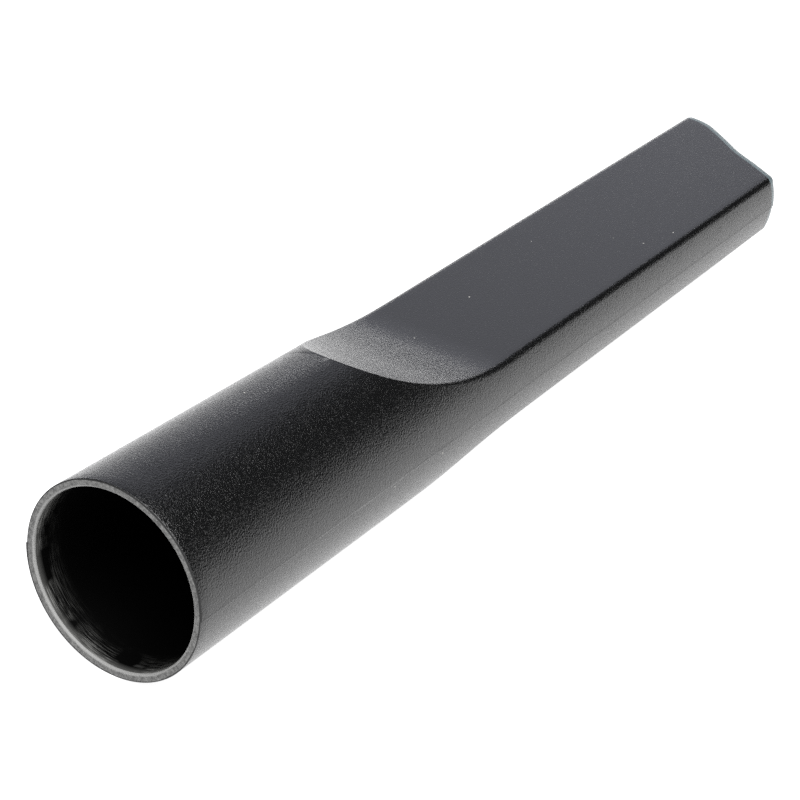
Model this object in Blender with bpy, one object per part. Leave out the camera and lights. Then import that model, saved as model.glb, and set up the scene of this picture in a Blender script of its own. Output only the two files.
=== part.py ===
"""Crevice nozzle of a vacuum cleaner: one hollow moulding.

It is round at one end and a flat, slanted slot at the other. It lies along X with its mouth at -X and its
tip at +X. It is built around the socket's axis, with x measured from the mouth, and the finished object is
then placed so that the origin is under the middle of its box.
"""

import math

import bmesh
import bpy

MM = 0.001

# Round socket
MOUTH_RADIUS = 17.5 * MM        # outside, at the mouth
SOCKET_TAPER = 0.0121           # radius lost per length, along the socket
SOCKET_LENGTH = 100 * MM        # where the socket's taper gives way to the nozzle's
WALL = 1.5 * MM
RIM_EDGE_BREAK = 0.2 * MM       # outer edge of the rim
RIM_LEAD_IN = 0.5 * MM          # inner edge of the rim
FIRST_STATION = 8 * MM          # first ring behind the rim's edges

# Flat nozzle
NOZZLE_TAPER = 0.002            # half width lost per length, along the nozzle
FLAT_START = 93.2 * MM          # where the scoop runs out into the flat
FLAT_HALF_THICKNESS = 6.99 * MM  # at FLAT_START
FLAT_TAPER = 0.0085             # half thickness lost per length
SCOOP_RADIUS = 75.6 * MM        # hollow arc that leads from the socket's crown down to the flat
CREASE_FILLET_FIRST = 0.6 * MM  # edge of the scoop, where it leaves the crown
CREASE_FILLET_LAST = 1.5 * MM   # edge of the flat
INNER_FILLET = 0.5 * MM         # least radius inside
SKEW_START = 56.4 * MM          # from here to FLAT_START the duct's axis turns from the socket's
SKEW_SIDE, SKEW_UP = 0.010, 0.0074  # how far it then runs to +Y and to +Z per length

# Slanted tip: (y, length of the tool there), from the short side to the long side
TIP_OUTLINE = (
    (-15.0 * MM, 201.3 * MM),
    (-8.0 * MM, 205.9 * MM),
    (-3.0 * MM, 208.9 * MM),
    (3.0 * MM, 213.6 * MM),
    (6.0 * MM, 215.9 * MM),
    (10.0 * MM, 218.5 * MM),
    (14.0 * MM, 219.4 * MM),
)
TOOL_LENGTH = TIP_OUTLINE[-1][1]
LEAN_START = 150 * MM           # from here on the rings lean over towards the slanted end
LIP_LENGTH = 1.6 * MM           # how far the edge at the tip is eased

# Mesh
FLAT_STEPS, FILLET_STEPS, SIDE_STEPS = 4, 2, 6
SOCKET_RINGS, SCOOP_RINGS, NOZZLE_RINGS, TIP_RINGS, LIP_STEPS = 5, 13, 3, 4, 4
MOUTH_CREASE_ANGLE = math.radians(35)  # spread of the crease rows at the mouth
LEAST_CREASE_ANGLE = math.radians(2)   # spread at the scoop's first point
FILLET_SPREAD = 1.5             # how much farther than the crease the fillet's rows end there
HALVINGS = 40                   # steps of the search for the scoop's first point
LEAN_STEPS = 4                  # steps of the search for a leaning ring's stations
SHARP_ANGLE = math.radians(30)  # edges sharper than this are shaded as edges

CHARCOAL = (0.028, 0.029, 0.031, 1.0)


class Shell:
    """One surface of the wall, given as the distance that it lies inside the outer one."""

    def __init__(self, inset):
        self.inset = inset
        self.start = self.scoop_start()

    def radius(self, x):
        socket = min(x, SOCKET_LENGTH)
        nozzle = max(x - SOCKET_LENGTH, 0.0)
        return MOUTH_RADIUS - SOCKET_TAPER * socket - NOZZLE_TAPER * nozzle - self.inset

    def half_thickness(self, x):
        """Height of the flat or of the scoop over the axis."""
        flat = FLAT_HALF_THICKNESS - FLAT_TAPER * (x - FLAT_START) - self.inset
        arc = SCOOP_RADIUS + self.inset
        run = min(max(FLAT_START - x, 0.0), arc)
        return flat + arc - math.sqrt(arc * arc - run * run)

    def fillet(self, x):
        share = min(max((x - self.start) / (FLAT_START - self.start), 0.0), 1.0)
        outer = CREASE_FILLET_FIRST + (CREASE_FILLET_LAST - CREASE_FILLET_FIRST) * share
        return max(outer - self.inset, INNER_FILLET)

    def scoop_start(self):
        """Station at which the scoop's arc meets the crown, found by halving."""
        low, high = 0.0, FLAT_START
        for _ in range(HALVINGS):
            middle = 0.5 * (low + high)
            if self.half_thickness(middle) > self.radius(middle):
                low = middle
            else:
                high = middle
        return high

    def fillet_centre(self, x):
        """(y, z) of the fillet's centre, which touches the flat and the round side."""
        fillet = self.fillet(x)
        z = self.half_thickness(x) - fillet
        return math.sqrt(max((self.radius(x) - fillet) ** 2 - z * z, 0.0)), z

    def crease_angles(self, x):
        """Angles from the crown at which the flat ends and at which the round side begins."""
        if x <= self.start:
            share = 1.0 - x / self.start
            first = LEAST_CREASE_ANGLE + (MOUTH_CREASE_ANGLE - LEAST_CREASE_ANGLE) * share
            return first, first * FILLET_SPREAD
        y, z = self.fillet_centre(x)
        first = max(math.atan2(y, self.half_thickness(x)), LEAST_CREASE_ANGLE)
        return first, max(math.atan2(y, z), first + 0.5 * LEAST_CREASE_ANGLE)

    def reach(self, x, angle):
        """Distance from the axis to the surface, at an angle from the crown."""
        radius = self.radius(x)
        if x <= self.start:
            return radius
        half = self.half_thickness(x)
        y, z = self.fillet_centre(x)
        if y == 0.0:
            return min(radius, half / math.cos(angle))
        if angle <= math.atan2(y, half):
            return half / math.cos(angle)
        if angle >= math.atan2(y, z):
            return radius
        along = y * math.sin(angle) + z * math.cos(angle)
        return along + math.sqrt(along * along - y * y - z * z + self.fillet(x) ** 2)

    def quarter(self, x):
        """(y, z) points from the crown to the side."""
        first, second = self.crease_angles(x)
        flat_edge = math.tan(first)
        angles = [math.atan(flat_edge * i / FLAT_STEPS) for i in range(FLAT_STEPS)]
        angles += [first + (second - first) * i / FILLET_STEPS for i in range(FILLET_STEPS)]
        side = math.pi / 2 - second
        angles += [second + side * i / SIDE_STEPS for i in range(SIDE_STEPS + 1)]
        reach = [self.reach(x, angle) for angle in angles]
        return [(r * math.sin(a), r * math.cos(a)) for r, a in zip(reach, angles)]


def around(quarter):
    """Whole section from its first quarter: crown, +Y side, keel, -Y side, and back to the crown."""
    top_left = list(quarter)
    bottom_left = [(y, -z) for y, z in reversed(quarter[:-1])]
    bottom_right = [(-y, -z) for y, z in quarter[1:]]
    top_right = [(-y, z) for y, z in reversed(quarter[1:-1])]
    return top_left + bottom_left + bottom_right + top_right


def tip_length(y):
    """Length of the tool at y: a smooth curve through TIP_OUTLINE, level beyond its last points."""
    points = TIP_OUTLINE
    y = min(max(y, points[0][0]), points[-1][0])
    slopes = [(b[1] - a[1]) / (b[0] - a[0]) for a, b in zip(points, points[1:])]
    tangents = [slopes[0]] + [0.5 * (a + b) for a, b in zip(slopes, slopes[1:])] + [0.0]
    for i, (a, b) in enumerate(zip(points, points[1:])):
        if y <= b[0]:
            break
    span = b[0] - a[0]
    t = (y - a[0]) / span
    start = (1 + 2 * t) * (1 - t) ** 2 * a[1] + t * t * (3 - 2 * t) * b[1]
    return start + span * (t * (1 - t) ** 2 * tangents[i] - t * t * (1 - t) * tangents[i + 1])


def upright_ring(shell, x):
    return [(x, y, z) for y, z in around(shell.quarter(x))]


def leaning_ring(shell, share):
    """Ring between the upright one at LEAN_START (share 0) and the lip (share 1)."""
    ring = []
    count = len(around(shell.quarter(LEAN_START)))
    for i in range(count):
        x = LEAN_START
        for _ in range(LEAN_STEPS):
            y, z = around(shell.quarter(x))[i]
            x = LEAN_START + share * (tip_length(y) - LIP_LENGTH - LEAN_START)
        ring.append((x, y, z))
    return ring


def stations(shell):
    """Upright stations behind the rim: even along the socket, crowded at the scoop's first point."""
    start = shell.start
    socket = [
        FIRST_STATION + (start - FIRST_STATION) * i / SOCKET_RINGS
        for i in range(SOCKET_RINGS)
    ]
    scoop = [
        start + (FLAT_START - start) * (i / SCOOP_RINGS) ** 2
        for i in range(SCOOP_RINGS + 1)
    ]
    nozzle = [
        FLAT_START + (LEAN_START - FLAT_START) * i / NOZZLE_RINGS
        for i in range(1, NOZZLE_RINGS)
    ]
    return socket + scoop + nozzle


def wall_rings(shell):
    """Rings of one surface from the mouth to where the lip begins."""
    rings = [upright_ring(shell, x) for x in stations(shell)]
    rings += [leaning_ring(shell, i / TIP_RINGS) for i in range(TIP_RINGS + 1)]
    return rings


def rim_ring(shell, x, outwards):
    """Ring near the mouth whose radius differs from the surface's by a small step."""
    radius = shell.radius(x)
    scale = (radius + outwards) / radius
    return [(x, y * scale, z * scale) for y, z in around(shell.quarter(x))]


def lip_rings(outer, inner):
    """Eased lip, half an ellipse in section, that joins the two surfaces at the tip."""
    rings = []
    for step in range(1, LIP_STEPS):
        turn = math.pi * step / LIP_STEPS
        ring = []
        for a, b in zip(outer, inner):
            middle = [0.5 * (p + q) for p, q in zip(a, b)]
            x, y, z = (m + math.cos(turn) * (p - m) for m, p in zip(middle, a))
            ring.append((x + LIP_LENGTH * math.sin(turn), y, z))
        rings.append(ring)
    return rings


def skewed(point):
    """The point where the duct's turned axis puts it."""
    x, y, z = point
    turning = FLAT_START - SKEW_START
    run = min(max(x - SKEW_START, 0.0), turning)
    drift = run * run / (2 * turning) + max(x - FLAT_START, 0.0)
    return x, y + SKEW_SIDE * drift, z + SKEW_UP * drift


def skin(name, rings):
    """Closed mesh over rings that follow each other and return to the first."""
    mesh = bmesh.new()
    verts = [[mesh.verts.new(skewed(point)) for point in ring] for ring in rings]
    count = len(rings[0])
    for i, ring in enumerate(verts):
        after = verts[(i + 1) % len(verts)]
        for j in range(count):
            k = (j + 1) % count
            mesh.faces.new((ring[j], ring[k], after[k], after[j]))
    bmesh.ops.recalc_face_normals(mesh, faces=mesh.faces)
    data = bpy.data.meshes.new(name)
    mesh.to_mesh(data)
    mesh.free()
    data.shade_smooth()
    data.set_sharp_from_angle(angle=SHARP_ANGLE)
    return data


def moulded_plastic():
    material = bpy.data.materials.new("moulded_plastic")
    material.use_nodes = True
    shader = material.node_tree.nodes["Principled BSDF"]
    shader.inputs["Base Color"].default_value = CHARCOAL
    shader.inputs["Roughness"].default_value = 0.55
    shader.inputs["Metallic"].default_value = 0.0
    material.diffuse_color = CHARCOAL
    return material


def crevice_nozzle(collection):
    """The whole moulding, placed so that the origin is under the middle of its box."""
    outer = Shell(0.0)
    inner = Shell(WALL)
    outside = [rim_ring(outer, 0.0, -RIM_EDGE_BREAK), rim_ring(outer, RIM_EDGE_BREAK, 0.0)]
    outside += wall_rings(outer)
    inside = [rim_ring(inner, 0.0, RIM_LEAD_IN), rim_ring(inner, RIM_LEAD_IN, 0.0)]
    inside += wall_rings(inner)
    rings = outside + lip_rings(outside[-1], inside[-1]) + inside[::-1]
    nozzle = bpy.data.objects.new("crevice_nozzle", skin("crevice_nozzle", rings))
    nozzle.data.materials.append(moulded_plastic())
    nozzle.location = (-0.5 * TOOL_LENGTH, 0.0, MOUTH_RADIUS)
    collection.objects.link(nozzle)


def main():
    for old in list(bpy.data.objects):
        bpy.data.objects.remove(old, do_unlink=True)
    tool = bpy.data.collections.new("crevice_tool")
    bpy.context.scene.collection.children.link(tool)
    crevice_nozzle(tool)


main()
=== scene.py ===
"""Looks of a vacuum cleaner's crevice nozzle: the moulding at full fineness, its finishes, and a
pale studio.

The tool lies along X with its round mouth at -X and its slanted tip at +X. Lengths are in metres.
"""

import math

import bpy
from mathutils import Euler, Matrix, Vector


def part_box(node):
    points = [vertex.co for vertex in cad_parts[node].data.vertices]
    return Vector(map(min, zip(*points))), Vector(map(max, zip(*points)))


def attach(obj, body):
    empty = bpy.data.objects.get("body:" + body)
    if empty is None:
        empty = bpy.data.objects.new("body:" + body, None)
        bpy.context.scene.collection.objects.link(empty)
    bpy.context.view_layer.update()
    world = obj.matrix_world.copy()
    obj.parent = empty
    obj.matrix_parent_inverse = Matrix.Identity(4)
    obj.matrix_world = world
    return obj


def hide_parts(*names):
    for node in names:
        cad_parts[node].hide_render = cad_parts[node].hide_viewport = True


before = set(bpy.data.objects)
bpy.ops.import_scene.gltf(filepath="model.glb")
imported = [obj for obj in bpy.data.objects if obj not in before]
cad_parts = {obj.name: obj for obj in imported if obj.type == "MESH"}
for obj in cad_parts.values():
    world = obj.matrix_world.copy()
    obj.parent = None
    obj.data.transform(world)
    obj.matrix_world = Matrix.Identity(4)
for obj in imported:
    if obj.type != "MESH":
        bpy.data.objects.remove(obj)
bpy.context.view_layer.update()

bl_info = {
    "name": "Crevice nozzle",
    "version": (1, 0, 0),
    "blender": (4, 5, 0),
    "location": "View3D > Sidebar > Crevice nozzle",
    "description": "Builds a moulded crevice nozzle with its finishes, and the studio it is shown in",
    "category": "Add Mesh",
}

MM = 0.001
NODE = "crevice_nozzle"
MOUTH_END, TIP_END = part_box(NODE)
TOOL_LENGTH = TIP_END.x - MOUTH_END.x
MOUTH_RADIUS = 0.5 * (TIP_END.z - MOUTH_END.z)
WALL = 1.5 * MM

# Fineness of the lattice that is wrapped into the moulding
FLAT_ROWS, FILLET_ROWS, SIDE_ROWS = 14, 8, 24
SOCKET_RINGS, SCOOP_RINGS, NOZZLE_RINGS = 24, 60, 40
EDGE_RINGS, LIP_RINGS, LEAD_RINGS = 3, 12, 6
QUARTER_ROWS = FLAT_ROWS + FILLET_ROWS + SIDE_ROWS
WALL_RINGS = SOCKET_RINGS + SCOOP_RINGS + NOZZLE_RINGS
MOUTH_SPREAD = math.radians(35)  # how far the flat's rows fan out at the mouth
LEAST_SPREAD = math.radians(2)   # and at the scoop's first point
LEAST_COSINE = 0.01              # keeps the flat's distance finite where a row points sideways
FAN_RATIO = 1.5                  # ahead of the scoop, the fillet's rows fan out this much further
RIDGE_WIDTH = 0.12 * MM          # half the width of the parting line's ridge
STEP_WIDTH = 0.08 * MM           # half the width over which the mould's halves step
WELD = 0.001 * MM                # points nearer than this become one

# Grained plastic
GRAINED_ROUGHNESS = 0.16
SKIN_WEIGHT, SKIN_ROUGHNESS = 0.07, 0.18  # glossy skin over the grain, seen at grazing angles
FLAT_HEIGHT = 13 * MM            # the flats lie nearer to the axis than this, the socket's crown does not
FLAT_LEVEL = (0.985, 0.998)      # between these heights of a unit normal the grain grows shallow
FLAT_SMOOTHING = 0.66            # share of the grain's depth that the flats lose
DUST = (0.45, 0.44, 0.4)
DUST_SPACING, DUST_SIZE = 6 * MM, 0.16 * MM

# Eased edge at the tip: its pale bluish colour is a painted reflection, mottled at random
LIP_ROUGHNESS = 0.35
LIP_MOTTLE_SIZE = 1.2 * MM
LIP_REFLECTION_RANGE = (0.3, 0.7)            # from dim to bright painted reflection, in the mottle's noise
LIP_DIM_REFLECTION = 0.7                  # colour of the dimmer places of the painted reflection, as a share of the lip's grey
LIP_BUMP, LIP_BUMP_DEPTH = 0.4, 0.03 * MM

# Bore: painted shade, with painted reflections and painted light just inside the mouth
BORE_ROUGHNESS = 0.5
BORE_SPECULAR = 0.12
STREAK_WIDTH = 0.15 * MM
STREAK_RUN = 4 * MM
STREAK_RANGE = (0.47, 0.59)       # from dark to painted reflection, in the streaks' noise
REFLECTION_PATCH_SIZE = 5 * MM
REFLECTION_PATCHES = (0.38, 0.58)
LIT_COLLAR = 1.9 * MM          # evenly lit collar behind the rim: painted light
COLLAR_LIGHT = 0.5
STREAK_BUMP, STREAK_BUMP_DEPTH = 0.3, 0.03 * MM

# Cut rim
RIM_ROUGHNESS = 0.6
MOTTLE_SIZE = 0.5 * MM
MOTTLE = (0.33, 0.67)            # from shaded to pale, in the mottle's noise
WANDER_SIZE, WANDER = 3 * MM, 0.3 * MM  # how the two lines below waver
EDGE_LINE = 0.35 * MM            # width of the dark line round the rim's face
INNER_HIGHLIGHT_LINE = 0.4 * MM             # width of the painted highlight along its inner edge
EDGE_BLUR, INNER_HIGHLIGHT_BLUR = 0.08 * MM, 0.2 * MM
RIM_BUMP, RIM_BUMP_DEPTH = 0.8, 0.08 * MM

# Outline of the slanted end, from the short side to the long one: shares of the width and of the slant
TIP_CURVE = (
    (0.0, 0.0), (0.233, 0.254), (0.4, 0.42), (0.6, 0.68),
    (0.7, 0.807), (0.833, 0.95), (0.967, 1.0), (1.0, 1.0),
)


# ---------------------------------------------------------------------------------------------------- sizes


def length(name, description, default):
    return bpy.props.FloatProperty(
        name=name, description=description, default=default, min=0.0, unit="LENGTH", precision=5
    )


def share(name, description, default):
    return bpy.props.FloatProperty(name=name, description=description, default=default, precision=4)


def colour(name, description, default):
    return bpy.props.FloatVectorProperty(
        name=name, description=description, default=default, size=3, subtype="COLOR", min=0.0, max=1.0
    )


class NozzleSizes(bpy.types.PropertyGroup):
    """Sizes of the moulding"""

    mouth_radius: length("Mouth Radius", "Outside radius of the socket at its mouth", MOUTH_RADIUS)
    long_side: length("Long Side", "From the mouth to the tip on the long side", TOOL_LENGTH)
    short_side: length("Short Side", "From the mouth to the tip on the short side", TOOL_LENGTH - 18.1 * MM)
    tip_half_width: length("Tip Half Width", "Half the width over which the tip slants", 15 * MM)
    wall: length("Wall", "Thickness of the wall", WALL)
    socket_length: length("Socket Length", "Where the nozzle's taper takes over", 100 * MM)
    socket_taper: share("Socket Taper", "Radius lost per length of socket", 0.0121)
    nozzle_taper: share("Nozzle Taper", "Half width lost per length of nozzle", 0.002)
    flat_start: length("Flat Start", "Where the scoop runs out into the flat", 93.2 * MM)
    half_thickness: length("Half Thickness", "Half the nozzle's thickness at Flat Start", 6.99 * MM)
    flat_taper: share("Flat Taper", "Half thickness lost per length", 0.0085)
    scoop_radius: length("Scoop Radius", "Radius of the hollow arc", 75.6 * MM)
    skew_start: length("Skew Start", "Where the duct begins to turn away from the socket's axis", 56.4 * MM)
    skew_side: share("Skew Side", "How far the duct then runs sideways per length", 0.010)
    skew_up: share("Skew Up", "How far the duct then runs upwards per length", 0.0074)
    first_fillet: length("First Fillet", "Edge radius where the scoop leaves the crown", 0.6 * MM)
    last_fillet: length("Last Fillet", "Edge radius of the flat", 1.5 * MM)
    least_fillet: length("Least Fillet", "Least radius inside", 0.5 * MM)
    lip: length("Lip", "How far the tip's edge is eased", 2.2 * MM)
    edge_break: length("Edge Break", "Outer edge of the mouth's rim", 0.2 * MM)
    lead_in: length("Lead In", "Inner edge of the mouth's rim", 0.5 * MM)
    ridge: length("Ridge", "Height of the parting line", 0.05 * MM)
    mismatch: length("Mismatch", "Step between the two halves of the mould", 0.22 * MM)


class FinishLook(bpy.types.PropertyGroup):
    """Colours and grain of the plastic"""

    charcoal: colour("Charcoal", "Colour of the grained plastic", (0.0038, 0.0039, 0.0041))
    cut_grey: colour("Cut Grey", "Palest colour of the trimmed rim", (0.19, 0.19, 0.186))
    cut_shade: colour("Cut Shade", "Darkest colour of the trimmed rim", (0.045, 0.045, 0.044))
    # Burr grey is a painted highlight: the bright line of light along the rim's inner edge.
    burr_grey: colour("Burr Grey", "Colour of the rim's inner edge", (0.27, 0.27, 0.265))
    # Lip grey is a painted reflection: the pale bluish line of light along the tip's eased edge.
    lip_grey: colour("Lip Grey", "Colour of the eased edge at the tip", (0.13, 0.165, 0.175))
    # Bore black is painted shade: the inside is painted far darker than the charcoal plastic it is moulded
    # from.
    bore_black: colour("Bore Black", "Colour inside", (0.0006, 0.0006, 0.0006))
    # Scuff grey and scuff reach paint light inside the mouth: reflections in streaks and patches, and a lit
    # collar, all fading to shade deeper in.
    scuff_grey: colour("Scuff Grey", "Colour of the scuffs just inside the mouth", (0.19, 0.19, 0.183))
    scuff_reach: length("Scuff Reach", "How far the scuffs run into the mouth", 7 * MM)
    grain_size: length("Grain Size", "Width of one grain of the eroded surface", 0.3 * MM)
    grain_depth: length("Grain Depth", "Depth of the grain", 0.15 * MM)


class StageLook(bpy.types.PropertyGroup):
    """Floor and light of the studio"""

    floor_colour: colour("Floor Colour", "Colour of the plain floor", (0.36, 0.36, 0.36))
    floor_glow: bpy.props.FloatProperty(
        name="Floor Glow", description="Light that comes up through the floor", default=0.95, min=0.0
    )
    overhead_power: bpy.props.FloatProperty(
        name="Overhead Power", description="Light of the overhead panel", default=45.0, min=0.0,
        unit="POWER",
    )
    backdrop_power: bpy.props.FloatProperty(
        name="Backdrop Power", description="Light of the panel behind the tip", default=4.9, min=0.0,
        unit="POWER",
    )
    reflector_power: bpy.props.FloatProperty(
        name="Reflector Power", description="Light of the card beyond the tip", default=0.11, min=0.0,
        unit="POWER",
    )


# ----------------------------------------------------------------------------- numbers that flow in a tree


class Flow:
    """A number that flows through a node tree: arithmetic on it adds Math nodes."""

    def __init__(self, tree, socket):
        self.tree = tree
        self.socket = socket

    def math(self, operation, *others):
        node = self.tree.nodes.new("ShaderNodeMath")
        node.operation = operation
        for slot, value in zip(node.inputs, (self, *others)):
            if isinstance(value, Flow):
                self.tree.links.new(value.socket, slot)
            else:
                slot.default_value = value
        return Flow(self.tree, node.outputs[0])

    def __add__(self, other):
        return self.math("ADD", other)

    def __radd__(self, other):
        return self.math("ADD", other)

    def __sub__(self, other):
        return self.math("SUBTRACT", other)

    def __rsub__(self, other):
        return self.math("MULTIPLY", -1.0) + other

    def __mul__(self, other):
        return self.math("MULTIPLY", other)

    def __rmul__(self, other):
        return self.math("MULTIPLY", other)

    def __truediv__(self, other):
        return self.math("DIVIDE", other)

    def __lt__(self, other):
        return self.math("LESS_THAN", other)

    def root(self):
        return self.math("SQRT")

    def square(self):
        return self * self

    def floor(self):
        return self.math("FLOOR")

    def sine(self):
        return self.math("SINE")

    def cosine(self):
        return self.math("COSINE")

    def tangent(self):
        return self.math("TANGENT")

    def turn_to(self, other):
        """Angle whose tangent is this number over the other."""
        return self.math("ARCTAN2", other)

    def remainder(self, other):
        return self.math("FLOORED_MODULO", other)

    def at_most(self, other):
        return self.math("MINIMUM", other)

    def at_least(self, other):
        return self.math("MAXIMUM", other)

    def within(self, low, high):
        return self.at_least(low).at_most(high)

    def between(self, low, high):
        """1 for whole numbers from low up to, not including, high."""
        return (self < high - 0.5) * self.math("GREATER_THAN", low - 0.5)


def either(condition, yes, no):
    """One of two numbers, point by point."""
    tree = condition.tree
    node = tree.nodes.new("GeometryNodeSwitch")
    node.input_type = "FLOAT"
    for slot, value in zip(node.inputs, (condition, no, yes)):
        if isinstance(value, Flow):
            tree.links.new(value.socket, slot)
        else:
            slot.default_value = value
    return Flow(tree, node.outputs[0])


# -------------------------------------------------------------------------------------------- the moulding


class Section:
    """Cross-section of one surface of the wall at station x, inset inside the outer surface."""

    def __init__(self, size, x, inset):
        self.size = size
        self.x = x
        self.inset = inset
        socket = x.at_most(size.socket_length)
        nozzle = (x - size.socket_length).at_least(0.0)
        self.radius = size.mouth_radius - size.socket_taper * socket - size.nozzle_taper * nozzle - inset
        arc = size.scoop_radius + inset
        run = (size.flat_start - x).within(0.0, arc)
        flat = size.half_thickness - size.flat_taper * (x - size.flat_start) - inset
        self.half = flat + arc - (arc.square() - run.square()).root()
        self.start = scoop_start(size, inset)
        progress = ((x - self.start) / (size.flat_start - self.start)).within(0.0, 1.0)
        outer_fillet = size.first_fillet + (size.last_fillet - size.first_fillet) * progress
        self.fillet = (outer_fillet - inset).at_least(size.least_fillet)
        self.fillet_z = self.half - self.fillet
        spare = (self.radius - self.fillet).square() - self.fillet_z.square()
        self.fillet_y = spare.at_least(0.0).root()

    def crease_angles(self):
        """Angles from the crown at which the flat ends and at which the round side begins."""
        ahead = self.x < self.start
        fan = LEAST_SPREAD + (MOUTH_SPREAD - LEAST_SPREAD) * (1.0 - self.x / self.start)
        flat_end = self.fillet_y.turn_to(self.half).at_least(LEAST_SPREAD)
        side_start = self.fillet_y.turn_to(self.fillet_z).at_least(flat_end + 0.5 * LEAST_SPREAD)
        return either(ahead, fan, flat_end), either(ahead, fan * FAN_RATIO, side_start)

    def angle(self, row):
        """Angle from the crown of one of the quarter's rows."""
        first, second = self.crease_angles()
        on_flat = (first.tangent() * (row / FLAT_ROWS)).turn_to(1.0)
        on_fillet = first + (second - first) * ((row - FLAT_ROWS) / FILLET_ROWS)
        to_side = 1.0 - (row - FLAT_ROWS - FILLET_ROWS) / SIDE_ROWS
        on_side = math.pi / 2 - (math.pi / 2 - second) * to_side.square()
        past_flat = either(row < FLAT_ROWS + FILLET_ROWS + 0.5, on_fillet, on_side)
        return either(row < FLAT_ROWS + 0.5, on_flat, past_flat)

    def reach(self, angle):
        """Distance from the axis to the surface."""
        across = self.fillet_y * angle.sine() + self.fillet_z * angle.cosine()
        centre = self.fillet_y.square() + self.fillet_z.square()
        on_fillet = across + (across.square() - centre + self.fillet.square()).root()
        on_flat = (self.half / angle.cosine().at_least(LEAST_COSINE)).at_most(self.radius)
        cut = either(angle < self.fillet_y.turn_to(self.fillet_z), on_fillet, self.radius)
        cut = either(angle < self.fillet_y.turn_to(self.half), on_flat, cut)
        cut = either(self.fillet_y < 1e-6, on_flat, cut)
        return either(self.x < self.start, self.radius, cut)

    def point(self, row):
        """(y, z) of one of the quarter's rows."""
        angle = self.angle(row)
        reach = self.reach(angle)
        return reach * angle.sine(), reach * angle.cosine()


def scoop_start(size, inset):
    """Station at which the scoop's arc meets the crown: where circle and straight taper are level."""
    arc = size.scoop_radius + inset
    taper = size.socket_taper - size.flat_taper
    offset = size.mouth_radius - size.socket_taper * size.flat_start - size.half_thickness - arc
    product = offset * taper
    square = taper.square() + 1.0
    run = ((product.square() - square * (offset.square() - arc.square())).root() - product) / square
    return size.flat_start - run


def tip_length(tree, size, y):
    """Length of the tool at y, read from the outline of the slanted end."""
    across = (y / size.tip_half_width * 0.5 + 0.5).within(0.0, 1.0)
    node = tree.nodes.new("ShaderNodeFloatCurve")
    curve = node.mapping.curves[0]
    curve.points[0].location = TIP_CURVE[0]
    curve.points[1].location = TIP_CURVE[-1]
    for point in TIP_CURVE[1:-1]:
        curve.points.new(*point)
    node.mapping.update()
    tree.links.new(across.socket, node.inputs["Value"])
    return size.short_side + (size.long_side - size.short_side) * Flow(tree, node.outputs[0])


class WallProfile:
    """Station and depth in the wall of each ring of the lattice, once round the wall's outline."""

    def __init__(self, tree, size, ring):
        self.tree = tree
        self.size = size
        after_edge = EDGE_RINGS
        after_outer = after_edge + WALL_RINGS
        after_lip = after_outer + LIP_RINGS
        after_inner = after_lip + WALL_RINGS
        self.on_edge = ring < after_edge - 0.5
        self.on_outer = ring < after_outer + 0.5
        self.on_lip = ring < after_lip + 0.5
        self.on_inner = ring < after_inner + 0.5
        self.edge_turn = ring / EDGE_RINGS * (math.pi / 2)
        self.lip_turn = (ring - after_outer) / LIP_RINGS * math.pi
        self.lead_turn = (ring - after_inner) / LEAD_RINGS * (math.pi / 2)
        back = after_inner - ring
        self.station = either(self.on_outer, ring - after_edge, back).within(0.0, WALL_RINGS)

    def inset(self):
        size = self.size
        lead = size.wall - size.lead_in * (1.0 - self.lead_turn.cosine())
        lip = size.wall * 0.5 * (1.0 - self.lip_turn.cosine())
        inside = either(self.on_inner, size.wall, lead)
        return either(
            self.on_edge,
            size.edge_break * (1.0 - self.edge_turn.sine()),
            either(self.on_outer, 0.0, either(self.on_lip, lip, inside)),
        )

    def x(self, inset, y):
        """Station of the ring at y: rings are upright as far as the flat, then lean to the slanted end."""
        size = self.size
        first = either(self.on_outer, size.edge_break, size.lead_in)
        start = scoop_start(size, inset)
        on_socket = first + (start - first) * (self.station / SOCKET_RINGS)
        scoop_share = (self.station - SOCKET_RINGS) / SCOOP_RINGS
        on_scoop = start + (size.flat_start - start) * scoop_share.square()
        lean = (self.station - SOCKET_RINGS - SCOOP_RINGS) / NOZZLE_RINGS
        end = tip_length(self.tree, size, y) - size.lip
        on_nozzle = size.flat_start + (end - size.flat_start) * lean
        past_outer = either(self.on_lip, end + size.lip * self.lip_turn.sine(), on_nozzle)
        on_nozzle = either(self.on_outer, on_nozzle, past_outer)
        wall = either(
            self.station < SOCKET_RINGS + 0.5,
            on_socket,
            either(self.station < SOCKET_RINGS + SCOOP_RINGS + 0.5, on_scoop, on_nozzle),
        )
        at_mouth = either(
            self.on_edge,
            size.edge_break * (1.0 - self.edge_turn.cosine()),
            size.lead_in * (1.0 - self.lead_turn.sine()),
        )
        return either(self.on_edge, at_mouth, either(self.on_inner, wall, at_mouth))


def duct_drift(size, x):
    """Length of duct behind x that runs along the turned axis; the turn itself is a soft bend."""
    turning = size.flat_start - size.skew_start
    run = (x - size.skew_start).within(0.0, turning)
    return run.square() / (turning * 2.0) + (x - size.flat_start).at_least(0.0)


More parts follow.
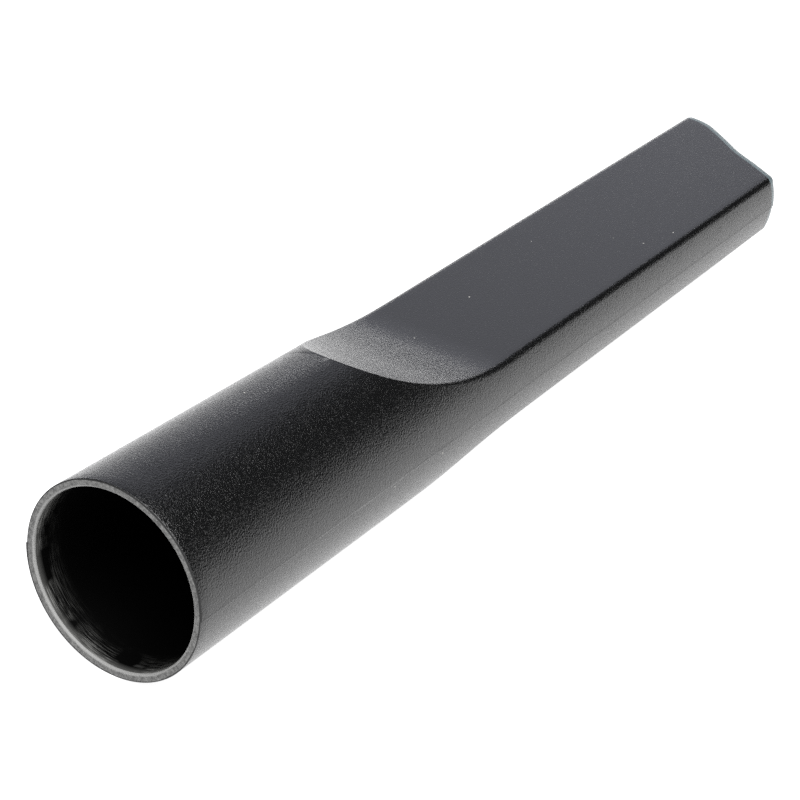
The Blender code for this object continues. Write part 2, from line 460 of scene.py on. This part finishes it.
def wrapped_point(tree, size, ring, column):
    """(x, y, z) of a lattice point, with x from the mouth and y, z from the socket's axis."""
    profile = WallProfile(tree, size, ring)
    quarter = (column / QUARTER_ROWS).floor()
    step = column - quarter * QUARTER_ROWS
    row = either(quarter.remainder(2.0) < 0.5, step, QUARTER_ROWS - step)
    side_sign = either(quarter < 1.5, 1.0, -1.0)
    up_sign = either((quarter + 1.0).remainder(4.0) < 1.5, 1.0, -1.0)
    inset = profile.inset()
    x = profile.x(inset, 0.0 * column)
    for _ in range(2):
        y, z = Section(size, x, inset).point(row)
        x = profile.x(inset, y * side_sign)
    y, z = Section(size, x, inset).point(row)
    outside = 1.0 - inset / size.wall
    narrow = (z / RIDGE_WIDTH).square()
    y = y + size.ridge * outside / (1.0 + narrow.square())
    y = y * side_sign
    z = z * up_sign
    y = y - size.mismatch * 0.5 * outside * (z / STEP_WIDTH).within(-1.0, 1.0)
    drift = duct_drift(size, x)
    return x, y + size.skew_side * drift, z + size.skew_up * drift


SIZE_NAMES = tuple(NozzleSizes.__annotations__)


class Sizes:
    """The tree's inputs, by the names of the property group."""

    def __init__(self, tree, group_input):
        for name in SIZE_NAMES:
            socket = tree.interface.new_socket(
                name.replace("_", " ").title(), in_out="INPUT", socket_type="NodeSocketFloat"
            )
            setattr(self, name, Flow(tree, group_input.outputs[socket.name]))


def lattice(tree, rings, columns):
    """A flat grid whose last ring and column fall on the first, with each point's ring and column."""
    grid = tree.nodes.new("GeometryNodeMeshGrid")
    grid.inputs["Vertices X"].default_value = rings + 1
    grid.inputs["Vertices Y"].default_value = columns + 1
    index = Flow(tree, tree.nodes.new("GeometryNodeInputIndex").outputs[0])
    ring = ((index + 0.5) / (columns + 1)).floor()
    column = index - ring * (columns + 1)
    face_ring = ((index + 0.5) / columns).floor()
    return grid, ring.remainder(rings), column.remainder(columns), face_ring


def stretch(tree, geometry_nodes):
    """Links nodes in a row through their geometry sockets."""
    for before, after in zip(geometry_nodes, geometry_nodes[1:]):
        target = after.inputs.get("Geometry") or after.inputs.get("Mesh")
        source = before.outputs.get("Geometry") or before.outputs.get("Mesh")
        tree.links.new(source, target)


def finish_node(tree, material, chosen):
    node = tree.nodes.new("GeometryNodeSetMaterial")
    node.inputs["Material"].default_value = material
    if chosen is not None:
        tree.links.new(chosen.socket, node.inputs["Selection"])
    return node


def moulding_tree(finishes):
    """Geometry Nodes that wrap a flat lattice into the hollow moulding and give it its finishes."""
    tree = bpy.data.node_groups.new("crevice_moulding", "GeometryNodeTree")
    tree.is_modifier = True
    tree.interface.new_socket("Geometry", in_out="OUTPUT", socket_type="NodeSocketGeometry")
    size = Sizes(tree, tree.nodes.new("NodeGroupInput"))
    rings = EDGE_RINGS + WALL_RINGS + LIP_RINGS + WALL_RINGS + LEAD_RINGS + 1
    columns = 4 * QUARTER_ROWS
    grid, ring, column, face_ring = lattice(tree, rings, columns)
    x, y, z = wrapped_point(tree, size, ring, column)
    place = tree.nodes.new("ShaderNodeCombineXYZ")
    for slot, value in zip(place.inputs, (x + MOUTH_END.x, y, z + MOUTH_RADIUS)):
        tree.links.new(value.socket, slot)
    move = tree.nodes.new("GeometryNodeSetPosition")
    tree.links.new(place.outputs[0], move.inputs["Position"])
    weld = tree.nodes.new("GeometryNodeMergeByDistance")
    weld.inputs["Distance"].default_value = WELD
    smooth = tree.nodes.new("GeometryNodeSetShadeSmooth")
    realize = tree.nodes.new("GeometryNodeRealizeInstances")
    keep = tree.nodes.new("GeometryNodeStoreNamedAttribute")
    keep.data_type = "FLOAT"
    keep.domain = "FACE"
    keep.inputs["Name"].default_value = "ring"
    tree.links.new(face_ring.socket, keep.inputs["Value"])
    read = tree.nodes.new("GeometryNodeInputNamedAttribute")
    read.data_type = "FLOAT"
    read.inputs["Name"].default_value = "ring"
    kept_ring = Flow(tree, read.outputs["Attribute"])
    lip_start = EDGE_RINGS + WALL_RINGS
    bore_start = lip_start + LIP_RINGS
    bore_end = bore_start + WALL_RINGS
    grained = kept_ring.between(EDGE_RINGS - 1, lip_start)
    lip = kept_ring.between(lip_start, bore_start)
    bore = kept_ring.between(bore_start, bore_end)
    out = tree.nodes.new("NodeGroupOutput")
    row = [grid, keep, move, weld, smooth, realize]
    row.append(finish_node(tree, finishes["rim"], None))
    row.append(finish_node(tree, finishes["grain"], grained))
    row.append(finish_node(tree, finishes["lip"], lip))
    row.append(finish_node(tree, finishes["bore"], bore))
    row.append(out)
    stretch(tree, row)
    return tree


def bake(carrier, name):
    """Plain mesh of what the carrier's modifier makes; the carrier goes."""
    bpy.context.view_layer.update()
    graph = bpy.context.evaluated_depsgraph_get()
    mesh = bpy.data.meshes.new_from_object(carrier.evaluated_get(graph))
    mesh.name = name
    while mesh.materials[0] is None:
        mesh.materials.pop(index=0)
    mesh.attributes.remove(mesh.attributes["ring"])
    bpy.data.objects.remove(carrier, do_unlink=True)
    return mesh


# ------------------------------------------------------------------------------------------------ finishes


def new_material(name, base, roughness):
    material = bpy.data.materials.new(name)
    material.use_nodes = True
    shader = material.node_tree.nodes["Principled BSDF"]
    shader.inputs["Base Color"].default_value = (*base, 1.0)
    shader.inputs["Roughness"].default_value = roughness
    return material, shader


def noise(tree, coordinates, size, detail, roughness=0.5):
    node = tree.nodes.new("ShaderNodeTexNoise")
    node.inputs["Scale"].default_value = 1.0 / size
    node.inputs["Detail"].default_value = detail
    node.inputs["Roughness"].default_value = roughness
    tree.links.new(coordinates, node.inputs["Vector"])
    return node.outputs["Fac"]


def bump(tree, height, strength, depth):
    node = tree.nodes.new("ShaderNodeBump")
    if isinstance(strength, Flow):
        tree.links.new(strength.socket, node.inputs["Strength"])
    else:
        node.inputs["Strength"].default_value = strength
    node.inputs["Distance"].default_value = depth
    tree.links.new(height, node.inputs["Height"])
    return node.outputs["Normal"]


def rise(value, limits):
    """0 up to the lower limit, 1 from the upper one, and straight between."""
    low, high = limits
    return ((value - low) / (high - low)).within(0.0, 1.0)


def blend_colours(tree, factor, below, above):
    """Mix node that runs from one colour to another; either may be a socket."""
    node = tree.nodes.new("ShaderNodeMix")
    node.data_type = "RGBA"
    tree.links.new(factor.socket, node.inputs["Factor"])
    for name, value in (("A", below), ("B", above)):
        if isinstance(value, bpy.types.NodeSocket):
            tree.links.new(value, node.inputs[name])
        else:
            node.inputs[name].default_value = (*value, 1.0)
    return node.outputs["Result"]


def object_place(tree):
    """Place on the object, and a node that splits it into its three numbers."""
    place = tree.nodes.new("ShaderNodeTexCoord").outputs["Object"]
    parts = tree.nodes.new("ShaderNodeSeparateXYZ")
    tree.links.new(place, parts.inputs[0])
    return place, parts


def from_axis(tree, parts):
    """(y, z) of the place, with z taken from the socket's axis."""
    return Flow(tree, parts.outputs["Y"]), Flow(tree, parts.outputs["Z"]) - MOUTH_RADIUS


def nearest_point(tree, place, cell):
    """Distance to the nearest of the points that are strewn one to a cell."""
    node = tree.nodes.new("ShaderNodeTexVoronoi")
    node.inputs["Scale"].default_value = 1.0 / cell
    tree.links.new(place, node.inputs["Vector"])
    return Flow(tree, node.outputs["Distance"]) * cell


def grained_plastic(look):
    """Charcoal plastic with a fine spark-eroded grain, shallower on the flats, and a little dust."""
    material, shader = new_material("grained_plastic", look.charcoal, GRAINED_ROUGHNESS)
    shader.inputs["Coat Weight"].default_value = SKIN_WEIGHT
    shader.inputs["Coat Roughness"].default_value = SKIN_ROUGHNESS
    tree = material.node_tree
    place, parts = object_place(tree)
    z = from_axis(tree, parts)[1]
    grain = noise(tree, place, look.grain_size, detail=2.0, roughness=0.55)
    facing = tree.nodes.new("ShaderNodeSeparateXYZ")
    tree.links.new(tree.nodes.new("ShaderNodeTexCoord").outputs["Normal"], facing.inputs[0])
    level = Flow(tree, facing.outputs["Z"]).math("ABSOLUTE")
    on_flat = rise(level, FLAT_LEVEL) * (z.math("ABSOLUTE") < FLAT_HEIGHT)
    normal = bump(tree, grain, 1.0 - FLAT_SMOOTHING * on_flat, look.grain_depth)
    tree.links.new(normal, shader.inputs["Normal"])
    dust = nearest_point(tree, place, DUST_SPACING) < DUST_SIZE
    tree.links.new(blend_colours(tree, dust, look.charcoal, DUST), shader.inputs["Base Color"])
    return material


def lip_plastic(look):
    """Eased edge at the tip, painted paler than the grained plastic: a painted reflection, mottled at
    random.
    """
    material, shader = new_material("lip_plastic", look.lip_grey, LIP_ROUGHNESS)
    tree = material.node_tree
    place = object_place(tree)[0]
    mottle_noise = noise(tree, place, LIP_MOTTLE_SIZE, detail=3.0, roughness=0.6)
    # Painted reflection: the lip's pale colour, brighter and dimmer at random.
    brighter_reflection = rise(Flow(tree, mottle_noise), LIP_REFLECTION_RANGE)
    dimmer_reflection = tuple(LIP_DIM_REFLECTION * part for part in look.lip_grey)
    tree.links.new(blend_colours(tree, brighter_reflection, dimmer_reflection, look.lip_grey), shader.inputs["Base Color"])
    tree.links.new(bump(tree, mottle_noise, LIP_BUMP, LIP_BUMP_DEPTH), shader.inputs["Normal"])
    return material


def bore_plastic(look):
    """Inside of the duct: painted shade, darker than the charcoal plastic, with painted reflections in
    rings and a painted lit collar just inside the mouth, fading into the bore.
    """
    material, shader = new_material("bore_plastic", look.bore_black, BORE_ROUGHNESS)
    shader.inputs["Specular IOR Level"].default_value = BORE_SPECULAR
    tree = material.node_tree
    place, parts = object_place(tree)
    rings = tree.nodes.new("ShaderNodeMapping")
    rings.inputs["Scale"].default_value = (1.0 / STREAK_WIDTH, 1.0 / STREAK_RUN, 1.0 / STREAK_RUN)
    tree.links.new(place, rings.inputs["Vector"])
    streaks = noise(tree, rings.outputs[0], 1.0, detail=3.0, roughness=0.6)
    patches = noise(tree, place, REFLECTION_PATCH_SIZE, detail=2.0)
    depth = Flow(tree, parts.outputs["X"]) - MOUTH_END.x
    # Painted light that fades to shade deeper into the bore.
    light_fade = (1.0 - depth / look.scuff_reach).within(0.0, 1.0).square()
    reflection_streaks = rise(Flow(tree, streaks), STREAK_RANGE)
    reflection_patches = rise(Flow(tree, patches), REFLECTION_PATCHES)
    lit_collar = (1.0 - depth / LIT_COLLAR).within(0.0, 1.0) * COLLAR_LIGHT
    painted_light = (reflection_streaks * reflection_patches * light_fade + lit_collar).within(0.0, 1.0)
    # Painted shade: the bore's colour is far darker than the plastic outside.
    colour_here = blend_colours(tree, painted_light, look.bore_black, look.scuff_grey)
    tree.links.new(colour_here, shader.inputs["Base Color"])
    tree.links.new(bump(tree, streaks, STREAK_BUMP, STREAK_BUMP_DEPTH), shader.inputs["Normal"])
    return material


def trimmed_rim(look):
    """Face of the mouth, cut from its sprue: pale, mottled and rough, with a dark outer edge and a painted
    highlight along its inner edge.
    """
    material, shader = new_material("trimmed_rim", look.cut_grey, RIM_ROUGHNESS)
    tree = material.node_tree
    place, parts = object_place(tree)
    y, z = from_axis(tree, parts)
    mottle_noise = noise(tree, place, MOTTLE_SIZE, detail=4.0, roughness=0.65)
    mottle = rise(Flow(tree, mottle_noise), MOTTLE)
    face = blend_colours(tree, mottle, look.cut_shade, look.cut_grey)
    wander = noise(tree, place, WANDER_SIZE, detail=2.0)
    across = (y.square() + z.square()).root() + (Flow(tree, wander) - 0.5) * WANDER
    # Painted highlight: a bright line along the rim's inner edge, where the lead-in catches the light.
    inner_highlight = ((MOUTH_RADIUS - WALL + INNER_HIGHLIGHT_LINE - across) / INNER_HIGHLIGHT_BLUR).within(0.0, 1.0)
    face = blend_colours(tree, inner_highlight, face, look.burr_grey)
    edge = ((across - (MOUTH_RADIUS - EDGE_LINE)) / EDGE_BLUR).within(0.0, 1.0)
    tree.links.new(blend_colours(tree, edge, face, look.charcoal), shader.inputs["Base Color"])
    tree.links.new(bump(tree, mottle_noise, RIM_BUMP, RIM_BUMP_DEPTH), shader.inputs["Normal"])
    return material


# -------------------------------------------------------------------------------------------------- studio

CAMERA_PLACE = (-0.36505, -0.20672, 0.23344)
CAMERA_TURN = (61.0935, -4.1712, -56.1120)
SENSOR_WIDTH, LENS = 36.0, 112.95
LENS_SHIFT = (-0.00081, -0.00193)
FLOOR_HALF_WIDTH = 30.0  # so wide that its far edge stays out of sight in low views
FLOOR_ROUGHNESS = 0.9
WORLD_GLOW = 0.03

# Place, target, width and height of each light panel
OVERHEAD = (-0.5, -0.5, 1.3), (0, 0, 0), 1.4, 1.2
BACKDROP = (0.92, 1.03, 0.82), (0, 0, 0.1), 1.75, 1.35
REFLECTOR = (0.458, 0.232, 0.035), (-0.04, 0, 0.04), 0.26, 0.05
BACKDROP_TINT = (0.95, 0.97, 1.09)


def add_camera(scene):
    data = bpy.data.cameras.new("camera")
    data.lens = LENS
    data.sensor_width = SENSOR_WIDTH
    data.shift_x, data.shift_y = LENS_SHIFT
    data.clip_start = 0.01
    camera = bpy.data.objects.new("camera", data)
    camera.location = CAMERA_PLACE
    camera.rotation_euler = Euler([math.radians(angle) for angle in CAMERA_TURN])
    scene.collection.objects.link(camera)
    scene.camera = camera


def add_panel(scene, name, place, target, width, height, power, tint=(1.0, 1.0, 1.0)):
    """Soft light panel at a place, facing a target."""
    data = bpy.data.lights.new(name, "AREA")
    data.color = tint
    data.shape = "RECTANGLE"
    data.size = width
    data.size_y = height
    data.energy = power
    panel = bpy.data.objects.new(name, data)
    panel.location = place
    panel.rotation_euler = (Vector(target) - Vector(place)).to_track_quat("-Z", "Y").to_euler()
    panel.visible_camera = False
    scene.collection.objects.link(panel)


def add_floor(scene, look):
    mesh = bpy.data.meshes.new("floor")
    half = FLOOR_HALF_WIDTH
    corners = [(-half, -half, 0.0), (half, -half, 0.0), (half, half, 0.0), (-half, half, 0.0)]
    mesh.from_pydata(corners, [], [(0, 1, 2, 3)])
    material, shader = new_material("pale_floor", look.floor_colour, FLOOR_ROUGHNESS)
    shader.inputs["Emission Color"].default_value = (1.0, 1.0, 1.0, 1.0)
    shader.inputs["Emission Strength"].default_value = look.floor_glow
    mesh.materials.append(material)
    floor = bpy.data.objects.new("floor", mesh)
    scene.collection.objects.link(floor)


def add_world(scene):
    world = bpy.data.worlds.new("studio")
    world.use_nodes = True
    background = world.node_tree.nodes["Background"]
    background.inputs["Color"].default_value = (1.0, 1.0, 1.0, 1.0)
    background.inputs["Strength"].default_value = WORLD_GLOW
    scene.world = world


# --------------------------------------------------------------------------------------------- the add-on


class CREVICE_OT_mould_nozzle(bpy.types.Operator):
    """Mould the nozzle from its sizes and give it its finishes"""

    bl_idname = "crevice.mould_nozzle"
    bl_label = "Mould nozzle"
    bl_options = {"REGISTER", "UNDO"}

    def execute(self, context):
        scene = context.scene
        sizes = scene.nozzle_sizes
        look = scene.finish_look
        finishes = {
            "grain": grained_plastic(look),
            "lip": lip_plastic(look),
            "bore": bore_plastic(look),
            "rim": trimmed_rim(look),
        }
        tree = moulding_tree(finishes)
        carrier = bpy.data.objects.new("carrier", bpy.data.meshes.new("carrier"))
        scene.collection.objects.link(carrier)
        modifier = carrier.modifiers.new("moulding", "NODES")
        modifier.node_group = tree
        for item in tree.interface.items_tree:
            if item.in_out == "INPUT":
                modifier[item.identifier] = getattr(sizes, item.name.lower().replace(" ", "_"))
        mesh = bake(carrier, "nozzle_moulding")
        nozzle = bpy.data.objects.new("nozzle_moulding", mesh)
        scene.collection.objects.link(nozzle)
        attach(nozzle, "root")
        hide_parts(NODE)
        return {"FINISHED"}


class CREVICE_OT_set_stage(bpy.types.Operator):
    """Set up the floor, the light panels, the world and the camera"""

    bl_idname = "crevice.set_stage"
    bl_label = "Set stage"
    bl_options = {"REGISTER", "UNDO"}

    def execute(self, context):
        scene = context.scene
        look = scene.stage_look
        scene.view_settings.view_transform = "Standard"
        scene.cycles.use_denoising = False  # it would smear the grain
        add_floor(scene, look)
        add_world(scene)
        add_panel(scene, "overhead", *OVERHEAD, look.overhead_power)
        add_panel(scene, "backdrop", *BACKDROP, look.backdrop_power, BACKDROP_TINT)
        add_panel(scene, "reflector", *REFLECTOR, look.reflector_power)
        add_camera(scene)
        return {"FINISHED"}


class CREVICE_PT_panel(bpy.types.Panel):
    """Lists what the nozzle is made with"""

    bl_idname = "CREVICE_PT_panel"
    bl_label = "Crevice nozzle"
    bl_space_type = "VIEW_3D"
    bl_region_type = "UI"
    bl_category = "Crevice nozzle"

    def draw(self, context):
        scene = context.scene
        for group in (scene.nozzle_sizes, scene.finish_look, scene.stage_look):
            box = self.layout.box()
            for name in group.bl_rna.properties.keys():
                if name not in {"rna_type", "name"}:
                    box.prop(group, name)
        self.layout.operator(CREVICE_OT_mould_nozzle.bl_idname)
        self.layout.operator(CREVICE_OT_set_stage.bl_idname)


CLASSES = (
    NozzleSizes,
    FinishLook,
    StageLook,
    CREVICE_OT_mould_nozzle,
    CREVICE_OT_set_stage,
    CREVICE_PT_panel,
)


def register():
    for each in CLASSES:
        bpy.utils.register_class(each)
    bpy.types.Scene.nozzle_sizes = bpy.props.PointerProperty(type=NozzleSizes)
    bpy.types.Scene.finish_look = bpy.props.PointerProperty(type=FinishLook)
    bpy.types.Scene.stage_look = bpy.props.PointerProperty(type=StageLook)


def unregister():
    del bpy.types.Scene.stage_look
    del bpy.types.Scene.finish_look
    del bpy.types.Scene.nozzle_sizes
    for each in reversed(CLASSES):
        bpy.utils.unregister_class(each)


def main():
    register()
    bpy.ops.crevice.mould_nozzle()
    bpy.ops.crevice.set_stage()


if __name__ == "__main__":
    main()
